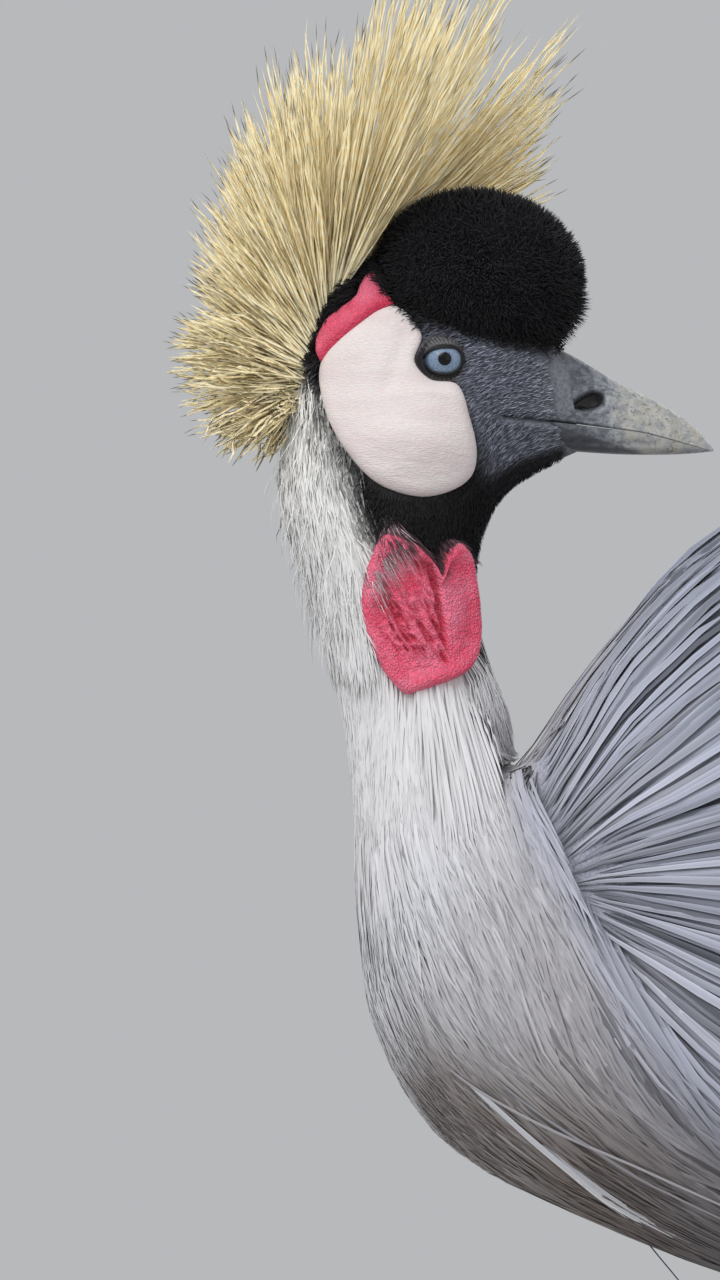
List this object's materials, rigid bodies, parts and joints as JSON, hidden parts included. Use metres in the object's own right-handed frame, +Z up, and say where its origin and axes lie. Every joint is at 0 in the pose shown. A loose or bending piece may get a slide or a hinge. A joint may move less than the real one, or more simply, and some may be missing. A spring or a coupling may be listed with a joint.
{
  "type": "grey crowned crane",
  "caption": "Life-size standing crowned crane looking back over its body, with a fan crest, bare cheeks, a throat wattle, folded wings and long legs.",
  "frame": {"origin": "on the floor, under the middle of the whole bird's box", "axes": "+Z up; the body faces -X and the head is turned back to face +X; +Y towards the bird's right side"},
  "size_m": [0.6502, 0.2366, 0.8576],
  "materials": {
    "velvet_black": "short black velvet feathers",
    "crest_straw": "stiff straw-gold bristles with dark tips",
    "skin_white": "bare finely wrinkled white skin",
    "skin_rose": "bare grainy rose skin",
    "eye": "wet pale blue-grey iris with a black pupil",
    "horn": "mottled grey horn",
    "skin_red": "bare wrinkled red skin",
    "feather_pale": "fine pale grey neck feathers",
    "feather_grey": "long narrow slate grey feathers with pale edges",
    "feather_wing": "white and straw coverts over chestnut and black flight feathers",
    "feather_tail": "black tail feathers",
    "leg_skin": "blackish scaled leg skin"
  },
  "bodies": {
    "root": {"head": "velvet_black", "crown_cushion": "velvet_black", "crest": "crest_straw", "cheek_left": "skin_white", "cheek_right": "skin_white", "rose_patch_left": "skin_rose", "rose_patch_right": "skin_rose", "eye_left": "eye", "eye_right": "eye", "bill_upper": "horn", "bill_lower": "horn", "wattle": "skin_red", "neck_upper": "feather_pale", "neck_lower": "feather_pale", "torso": "feather_grey", "mantle": "feather_grey", "wing_left": "feather_wing", "wing_right": "feather_wing", "thigh_left": "feather_grey", "thigh_right": "feather_grey", "shin_left": "leg_skin", "shin_right": "leg_skin", "tarsus_left": "leg_skin", "tarsus_right": "leg_skin", "foot_left": "leg_skin", "foot_right": "leg_skin", "tail": "feather_tail"}
  },
  "joints": []
}
